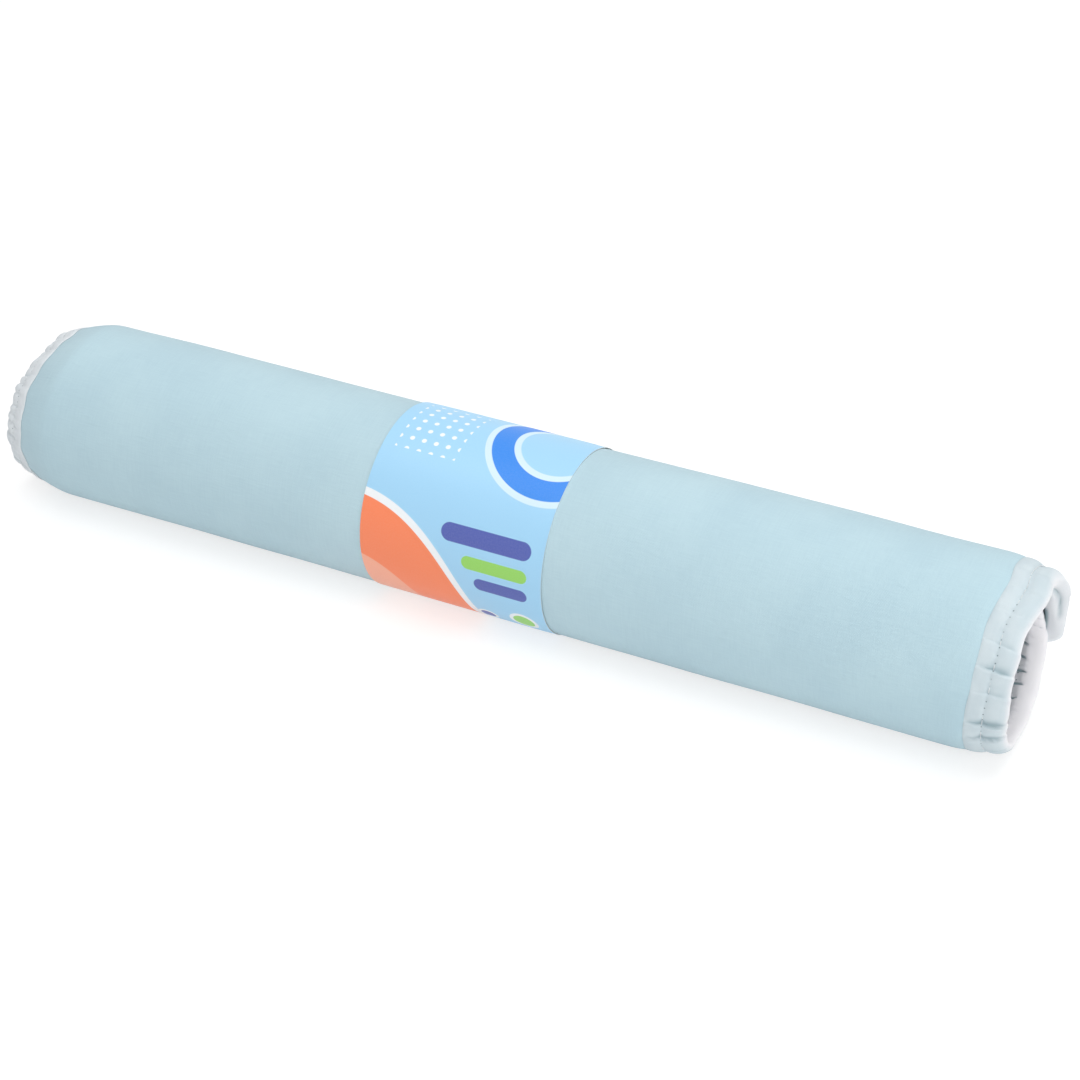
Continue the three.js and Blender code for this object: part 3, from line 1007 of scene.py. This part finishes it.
def tight_outline():
    """The convex outline of the roll under the sleeve, as (y, z) in mm from the axis."""
    wound = np.linspace(0.0, TURN, 1440)[:, None]
    across = np.linspace(-0.5, 0.5, 7)[None, :] * SLEEVE_WIDTH + SLEEVE_MIDDLE
    across, wound = np.broadcast_arrays(across, wound)
    over_tail_hem = np.where(length_at(wound) < HEM_WIDTH + 1.0, -TAIL_HEM_RISE, 0.0)
    places = (on_roll(across, wound, over_tail_hem) - AXIS) / MM
    points = sorted({(round(y, 4), round(z, 4)) for y, z in places[..., 1:].reshape(-1, 2)})
    chain = []
    for ordered in (points, points[::-1]):
        half = []
        for point in ordered:
            while len(half) > 1 and turns_in(half[-2], half[-1], point):
                half.pop()
            half.append(point)
        chain += half[:-1]
    return np.array(chain)


def sleeve_path(outline, arc, lift):
    """Places along the closed outline, by distance from its first point, lifted outwards."""
    closed = np.concatenate([outline, outline[:1]])
    reach = np.concatenate([[0.0], np.cumsum(np.hypot(*np.diff(closed, axis=0).T))])

    def at(distance):
        distance = np.mod(distance, reach[-1])
        return np.array([np.interp(distance, reach, closed[:, part]) for part in (0, 1)])

    arc = np.mod(arc, reach[-1])
    y, z = at(arc)
    along_y, along_z = at(arc + LEAN_REACH) - at(arc - LEAN_REACH)
    size = np.hypot(along_y, along_z)
    return y + lift * along_z / size, z - lift * along_y / size


def paper_band(name, printed, board):
    """The sleeve's strip round the roll: printed on its outer side, plain board on the inner."""
    outline = tight_outline()
    degrees = np.degrees(np.arctan2(outline[:, 1], outline[:, 0]))
    outline = np.roll(outline, -int(np.argmin(np.abs(degrees - LAP_ANGLE))), axis=0)
    closed = np.concatenate([outline, outline[:1]])
    round_about = float(np.sum(np.hypot(*np.diff(closed, axis=0).T)))
    arc = np.linspace(0.0, round_about + SLEEVE_LAP, SLEEVE_ROWS)
    lift = SLEEVE_GAP + SLEEVE_LAP_LIFT * ease(round_about - 9.0, round_about - 1.0, arc)
    across = np.linspace(-0.5, 0.5, SLEEVE_COLUMNS) * SLEEVE_WIDTH
    arc, across = np.broadcast_arrays(arc[:, None], across[None, :])
    edge = SLEEVE_WIDTH / 2.0 - np.abs(across)
    loose = SLEEVE_LOOSE + SLEEVE_RIPPLE * np.sin(arc / 37.0 + across / 29.0)
    y, z = sleeve_path(outline, arc, lift[:, None] + loose * ease(0.0, SLEEVE_EDGE, edge))
    places = AXIS + np.stack([across + SLEEVE_MIDDLE, y, z], axis=-1) * MM
    places[..., 2] = np.maximum(places[..., 2], PAPER_THICKNESS * MM)
    angle = np.unwrap(np.arctan2(z[:, 0], y[:, 0]))
    top = float(np.interp(math.radians(PRINT_TOP_ANGLE), angle, arc[:, 0]))
    sleeve, column, row = flat_cloth(name, across.shape[1], across.shape[0])
    lay_out(sleeve, column, row, places, across, arc - top)
    sleeve.data.flip_normals()
    sleeve.data.materials.append(printed)
    sleeve.data.materials.append(board)
    paper = sleeve.modifiers.new("paper thickness", "SOLIDIFY")
    paper.thickness = PAPER_THICKNESS * MM
    paper.offset = 1.0
    paper.material_offset = 1
    paper.material_offset_rim = 1
    bpy.ops.object.modifier_apply(modifier=paper.name)
    bpy.ops.object.shade_smooth_by_angle(angle=PAPER_SMOOTHING)
    return sleeve


# Finishes
def srgb(red, green, blue):
    """A colour as it is seen, 0 to 255, as the shader's linear colour."""
    seen = np.array([red, green, blue]) / 255.0
    linear = np.where(seen <= 0.04045, seen / 12.92, ((seen + 0.055) / 1.055) ** 2.4)
    return (*linear, 1.0)


def grey(tone):
    return (tone, tone, tone, 1.0)


class Finish:
    """One procedural material, with short words for the nodes that it is wired from."""

    def __init__(self, name, roughness, sheen=0.0, specular=0.3):
        self.material = bpy.data.materials.new(name)
        self.material.use_nodes = True
        self.tree = self.material.node_tree
        self.shader = self.tree.nodes["Principled BSDF"]
        self.shader.inputs["Roughness"].default_value = roughness
        self.shader.inputs["Specular IOR Level"].default_value = specular
        if sheen:
            self.shader.inputs["Sheen Weight"].default_value = sheen
            self.shader.inputs["Sheen Roughness"].default_value = 0.5

    def node(self, kind, settings=(), **inputs):
        made = self.tree.nodes.new(kind)
        for name, value in dict(settings).items():
            setattr(made, name, value)
        for name, value in inputs.items():
            self.feed(made, name.replace("_", " "), value)
        return made

    def feed(self, made, name, value):
        """Wire one of a node's inputs to a socket, or set it to a plain value."""
        socket = made.inputs[name]
        if isinstance(value, bpy.types.NodeSocket):
            self.tree.links.new(value, socket)
        else:
            socket.default_value = value

    def math(self, operation, *values):
        made = self.node("ShaderNodeMath", {"operation": operation})
        for index, value in enumerate(values):
            self.feed(made, index, value)
        return made.outputs[0]

    def away(self, value, middle):
        """How far a value is from a middle."""
        return self.math("ABSOLUTE", self.math("SUBTRACT", value, middle))

    def from_pitch(self, value, pitch):
        """How far a value is from the middle of the pitch that it lies in."""
        return self.away(self.math("FLOORED_MODULO", value, pitch), pitch / 2.0)

    def distance(self, across, along):
        """How far a place is from a middle, from how far it is each way."""
        squares = [self.math("MULTIPLY", part, part) for part in (across, along)]
        return self.math("SQRT", self.math("ADD", *squares))

    def attribute(self, name):
        """An amount that mark kept for each corner."""
        return self.node("ShaderNodeAttribute", {"attribute_name": name}).outputs["Fac"]

    def place(self):
        """Where a point is on the piece, in metres."""
        return self.node("ShaderNodeTexCoord").outputs["Object"]

    def cut_map(self, across, along):
        """The UV map of the flat cut, in units of so many millimetres across and along."""
        uv = self.node("ShaderNodeUVMap").outputs[0]
        scale = (1.0 / (across * MM), 1.0 / (along * MM), 1.0)
        return self.node("ShaderNodeMapping", Vector=uv, Scale=scale).outputs[0]

    def cut_places(self, millimetres=1.0):
        """The flat cut's two directions, in units of so many millimetres."""
        cut = self.cut_map(millimetres, millimetres)
        parted = self.node("ShaderNodeSeparateXYZ", Vector=cut)
        return parted.outputs[0], parted.outputs[1]

    def cut_noise(self, across, along, detail=2.0):
        """Noise on the flat cut, whose patches are so many millimetres across and along."""
        cut = self.cut_map(across, along)
        return self.node("ShaderNodeTexNoise", Vector=cut, Scale=1.0, Detail=detail).outputs[0]

    def mix(self, share, first, second):
        """Two colours by a share; the node's inputs repeat their names, so they are counted."""
        made = self.node("ShaderNodeMix", {"data_type": "RGBA"})
        for index, value in ((0, share), (6, first), (7, second)):
            self.feed(made, index, value)
        return made.outputs[2]

    def ramp(self, value, low, high):
        """0 where the value is low or less, 1 where it is high or more."""
        smooth = {"interpolation_type": "SMOOTHSTEP"}
        return self.node(
            "ShaderNodeMapRange", smooth, Value=value, From_Min=low, From_Max=high
        ).outputs[0]

    def colour(self, value):
        self.feed(self.shader, "Base Color", value)

    def bump(self, height, distance, strength=1.0):
        bump = self.node("ShaderNodeBump", Height=height, Distance=distance, Strength=strength)
        self.tree.links.new(bump.outputs[0], self.shader.inputs["Normal"])

    def two_tone(self, pattern, dark, light, distance, strength):
        """Colour and relief from one pattern."""
        self.colour(self.mix(pattern, dark, light))
        self.bump(pattern, distance, strength)

    def on(self, *pieces):
        for piece in pieces:
            piece.data.materials.clear()
            piece.data.materials.append(self.material)


def weave_height(finish, thread):
    """A plain weave on the flat cut: threads of a width in mm that go over and under."""
    across, along = finish.cut_places(thread)
    warp = finish.math("SINE", finish.math("MULTIPLY", across, math.pi))
    weft = finish.math("SINE", finish.math("MULTIPLY", along, math.pi))
    return finish.math("MULTIPLY", warp, weft)


def cotton_finish():
    finish = Finish("pale blue cotton", roughness=0.88, sheen=0.2, specular=0.2)
    slub_across = finish.cut_noise(9.0, 0.7)
    slub_along = finish.cut_noise(0.7, 11.0)
    slubs = finish.math("ADD", slub_across, slub_along)
    cloud = finish.cut_noise(42.0, 55.0, detail=3.0)
    uneven = finish.math("ADD", finish.math("MULTIPLY", slubs, 0.5), cloud)
    tone = finish.ramp(uneven, 0.6, 1.4)
    finish.colour(finish.mix(tone, srgb(183, 211, 222), srgb(193, 220, 229)))
    height = finish.math("ADD", weave_height(finish, 0.42), finish.math("MULTIPLY", slubs, 1.2))
    puckers = finish.ramp(finish.cut_noise(8.0, 3.2), 0.5, 0.85)
    height = finish.math("ADD", height, finish.math("MULTIPLY", puckers, 3.0))
    finish.bump(height, 0.00005, 0.5)
    return finish


def hem_finish():
    finish = Finish("white casing cloth", roughness=0.9, sheen=0.1, specular=0.2)
    out, along = finish.cut_places()
    # Painted shade: a dark dot in each needle hole of the stitch row, showing where the noise pulls
    # the cloth
    from_hole = finish.from_pitch(along, STITCH_SPACING)
    from_row = finish.away(out, STITCH_LINE)
    hole_shade = finish.ramp(finish.distance(from_hole, from_row), 0.42, 0.18)
    pulled = finish.ramp(finish.cut_noise(30.0, 16.0), 0.4, 0.62)
    cloud = finish.ramp(finish.cut_noise(9.0, 13.0, detail=3.0), 0.3, 0.75)
    slubs = finish.math("ADD", finish.cut_noise(4.0, 0.5), finish.cut_noise(0.5, 5.0))
    face = finish.mix(cloud, srgb(203, 217, 223), srgb(212, 224, 229))
    back = finish.mix(cloud, srgb(250, 249, 252), srgb(254, 253, 255))
    cloth = finish.mix(finish.attribute("inner_leaf"), face, back)
    # Painted shade: folds, ribs, notches, the pit and the crease darken towards a dark teal, for
    # the shade that falls in them
    shade = finish.math("MULTIPLY", finish.attribute("painted_crease_shade"), 0.9)
    cloth = finish.mix(shade, cloth, srgb(108, 146, 156))
    # Painted shade in the needle holes, over the cloth
    finish.colour(finish.mix(finish.math("MULTIPLY", hole_shade, pulled), cloth, srgb(132, 148, 155)))
    height = finish.math("ADD", weave_height(finish, 0.36), slubs)
    finish.bump(height, 0.00005, 0.6)
    return finish


def thread_finish():
    finish = Finish("white sewing thread", roughness=0.7, sheen=0.1)
    twist = finish.node("ShaderNodeTexNoise", Vector=finish.place(), Scale=2600.0, Detail=1.0)
    finish.two_tone(twist.outputs[0], srgb(214, 220, 224), srgb(232, 235, 236), 0.00005, 0.5)
    return finish


def felt_finish():
    finish = Finish("blue grey felt", roughness=0.95, sheen=0.2, specular=0.1)
    fibres = finish.cut_noise(1.4, 1.4, detail=6.0)
    finish.two_tone(fibres, srgb(150, 180, 186), srgb(182, 206, 210), 0.0004, 0.8)
    return finish


def foam_finish():
    finish = Finish("cream foam", roughness=0.95, specular=0.1)
    cells = finish.node("ShaderNodeTexVoronoi", Vector=finish.place(), Scale=1400.0)
    finish.two_tone(cells.outputs[0], srgb(226, 218, 196), srgb(240, 234, 218), 0.0003, 0.8)
    return finish


def elastic_finish():
    finish = Finish("white elastic", roughness=0.75, sheen=0.1)
    braid = finish.node("ShaderNodeTexNoise", Vector=finish.place(), Scale=1500.0, Detail=2.0)
    finish.two_tone(braid.outputs[0], srgb(222, 222, 216), srgb(240, 240, 236), 0.0001, 0.6)
    return finish


SKY = srgb(163, 215, 248)
CORAL = srgb(255, 134, 84)
NAVY = srgb(74, 90, 174)
GREEN = srgb(150, 216, 92)
ROYAL = srgb(22, 134, 236)
PALE = srgb(214, 238, 250)
WHITE = srgb(246, 250, 252)
LIGHT_CORAL = srgb(255, 176, 146)
PRINT_EDGE = 0.2


def print_finish():
    """A plain print of discs, bars and dots on the sleeve; its places are mm across from the
    sleeve's middle and mm down from the line that tops the side it shows."""
    finish = Finish("printed paper", roughness=0.42, specular=0.4)
    across, down = finish.cut_places()

    def inked(side, fall, radius):
        """1 within a radius of a middle, from how far a place is from it each way."""
        return finish.ramp(finish.distance(side, fall), radius + PRINT_EDGE, radius - PRINT_EDGE)

    def disc(middle_across, middle_down, radius):
        side = finish.away(across, middle_across)
        return inked(side, finish.away(down, middle_down), radius)

    def bar(middle_across, middle_down, half_length, half_height):
        reach = half_length - half_height
        past = finish.math("SUBTRACT", finish.away(across, middle_across), reach)
        side = finish.math("MAXIMUM", past, 0.0)
        return inked(side, finish.away(down, middle_down), half_height)

    def dots(pitch, radius, middle_across, middle_down, half_across, half_down):
        dot = inked(finish.from_pitch(across, pitch), finish.from_pitch(down, pitch), radius)
        inside = finish.math(
            "MULTIPLY",
            finish.math("LESS_THAN", finish.away(across, middle_across), half_across),
            finish.math("LESS_THAN", finish.away(down, middle_down), half_down),
        )
        return finish.math("MULTIPLY", dot, inside)

    ring = (34.0, 20.0)
    hill = (-52.0, 128.0)
    green_spot = (33.0, 118.0)
    navy_spot = (14.0, 122.0)
    shapes = (
        (disc(*ring, 36.0), PALE),
        (disc(*ring, 33.0), ROYAL),
        (disc(*ring, 23.0), PALE),
        (disc(*ring, 20.0), SKY),
        (disc(*hill, 62.0), WHITE),
        (disc(*hill, 58.5), CORAL),
        (disc(*hill, 30.0), LIGHT_CORAL),
        (dots(6.0, 1.15, -24.0, 27.0, 15.0, 18.0), WHITE),
        (bar(17.0, 76.0, 22.0, 4.2), NAVY),
        (bar(22.0, 88.0, 16.0, 3.2), GREEN),
        (bar(25.0, 98.0, 13.0, 3.2), NAVY),
        (disc(*green_spot, 7.0), WHITE),
        (disc(*green_spot, 5.2), GREEN),
        (disc(*navy_spot, 5.0), WHITE),
        (disc(*navy_spot, 3.6), NAVY),
    )
    colour = SKY
    for mask, ink in shapes:
        colour = finish.mix(mask, colour, ink)
    grain = finish.cut_noise(0.8, 0.8, detail=3.0)
    finish.colour(finish.mix(finish.math("MULTIPLY", grain, 0.08), colour, WHITE))
    finish.bump(finish.cut_noise(14.0, 9.0), 0.00025, 0.5)
    return finish


def board_finish():
    finish = Finish("white paper board", roughness=0.8, specular=0.2)
    grain = finish.cut_noise(1.6, 0.9, detail=4.0)
    finish.two_tone(grain, srgb(226, 227, 226), srgb(240, 240, 238), 0.00005, 0.5)
    return finish


sleeve = paper_band("paper_band", print_finish().material, board_finish().material)
cotton_finish().on(cotton)
hem_finish().on(hem_right, hem_left, hem_tail)
thread_finish().on(thread_right, thread_left, thread_tail)
foam_finish().on(foam)
felt_finish().on(felt)
elastic_finish().on(elastic_right, elastic_left, elastic_tail)

# What each piece moves with, stands for and is made of
for piece, nodes, slot in (
    (cotton, ["cotton_cover"], "cotton"),
    (foam, ["foam_layer"], "foam"),
    (felt, ["felt_layer"], "felt"),
    (hem_right, ["hem_casing_right", "hem_casing_nose_right"], "hem"),
    (hem_left, ["hem_casing_left", "hem_casing_nose_left"], "hem"),
    (hem_tail, ["hem_casing_tail"], "hem"),
    (elastic_right, ["elastic_right"], "elastic"),
    (elastic_left, ["elastic_left"], "elastic"),
    (elastic_tail, ["elastic_tail"], "elastic"),
):
    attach(piece, "roll")
    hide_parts(*nodes)
for thread in (thread_right, thread_left, thread_tail):
    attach(thread, "roll")
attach(sleeve, "sleeve")
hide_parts("paper_sleeve")

# The stage: a pale floor, soft lamps all round and the photograph's camera
CAMERA_AZIMUTH = math.radians(26.52)
CAMERA_ELEVATION = math.radians(33.07)
CAMERA_DISTANCE = 1.1094
CAMERA_LENS = 82.13
CAMERA_SENSOR = 36.0
CAMERA_CLIP = 0.01
CAMERA_AIM = np.array((20.65, 0.6, -4.7)) * MM
FLOOR_SIZE = 12.0
FLOOR_TONE = 0.93
FLOOR_SEEN_TONE = 0.4
FLOOR_GLOW = 0.7
FLOOR_GLOW_FROM = 0.9
FLOOR_WHITE_FROM = 2.4
LAMP_DISTANCE = 2.2
ROOM_LIGHT = 0.36


def facing(azimuth, elevation):
    """The direction out to a lamp or camera, and the turn with which it looks back."""
    level = math.cos(elevation)
    away = np.array((math.sin(azimuth) * level, -math.cos(azimuth) * level, math.sin(elevation)))
    return away, (math.pi / 2.0 - elevation, 0.0, azimuth)


def add_floor():
    """A pale floor that keeps the roll's shadow; further out it glows to white for the camera."""
    bpy.ops.object.select_all(action="DESELECT")
    bpy.ops.mesh.primitive_plane_add(size=FLOOR_SIZE)
    floor = bpy.context.object
    floor.name = "floor"
    finish = Finish("white floor", roughness=0.9, specular=0.0)
    finish.shader.inputs["Emission Color"].default_value = grey(1.0)
    path = finish.node("ShaderNodeLightPath")
    seen = finish.math("MAXIMUM", path.outputs["Is Camera Ray"], path.outputs["Is Glossy Ray"])
    finish.colour(finish.mix(seen, grey(FLOOR_TONE), grey(FLOOR_SEEN_TONE)))
    length = {"operation": "LENGTH"}
    away = finish.node("ShaderNodeVectorMath", length, Vector=finish.place()).outputs["Value"]
    glow = finish.node(
        "ShaderNodeMapRange",
        Value=away,
        From_Min=FLOOR_GLOW_FROM,
        From_Max=FLOOR_WHITE_FROM,
        To_Min=FLOOR_GLOW,
    )
    finish.feed(finish.shader, "Emission Strength", finish.math("MULTIPLY", seen, glow.outputs[0]))
    finish.on(floor)


def add_lamp(name, azimuth, elevation, size, power):
    """A soft round lamp that faces the roll's middle."""
    away, turn = facing(math.radians(azimuth), math.radians(elevation))
    bpy.ops.object.light_add(type="AREA", location=LAMP_DISTANCE * away, rotation=turn)
    lamp = bpy.context.object
    lamp.name = name
    lamp.data.shape = "DISK"
    lamp.data.size = size
    lamp.data.energy = power


def add_world():
    """A room that is white to the camera and lights the roll by less."""
    world = bpy.data.worlds.new("white room")
    world.use_nodes = True
    bpy.context.scene.world = world
    tree = world.node_tree
    background = tree.nodes["Background"]
    background.inputs["Color"].default_value = grey(1.0)
    path = tree.nodes.new("ShaderNodeLightPath")
    seen = path.outputs["Is Camera Ray"]
    for name in ("Is Glossy Ray", "Is Transmission Ray"):
        either = tree.nodes.new("ShaderNodeMath")
        either.operation = "MAXIMUM"
        tree.links.new(seen, either.inputs[0])
        tree.links.new(path.outputs[name], either.inputs[1])
        seen = either.outputs[0]
    level = tree.nodes.new("ShaderNodeMapRange")
    level.inputs["To Min"].default_value = ROOM_LIGHT
    level.inputs["To Max"].default_value = 1.0
    tree.links.new(seen, level.inputs["Value"])
    tree.links.new(level.outputs[0], background.inputs["Strength"])


def add_camera():
    away, turn = facing(CAMERA_AZIMUTH, CAMERA_ELEVATION)
    place = AXIS + CAMERA_AIM + CAMERA_DISTANCE * away
    bpy.ops.object.camera_add(location=place, rotation=turn)
    camera = bpy.context.object
    camera.data.lens = CAMERA_LENS
    camera.data.sensor_width = CAMERA_SENSOR
    camera.data.clip_start = CAMERA_CLIP
    bpy.context.scene.camera = camera


add_floor()
add_lamp("key lamp", azimuth=-20.0, elevation=82.0, size=1.8, power=20.8)
add_lamp("front lamp", azimuth=30.0, elevation=33.0, size=1.3, power=8.8)
add_lamp("side lamp", azimuth=70.0, elevation=19.0, size=1.2, power=8.0)
add_lamp("back lamp", azimuth=150.0, elevation=50.0, size=1.6, power=11.8)
add_world()
add_camera()
bpy.context.scene.view_settings.view_transform = "Standard"
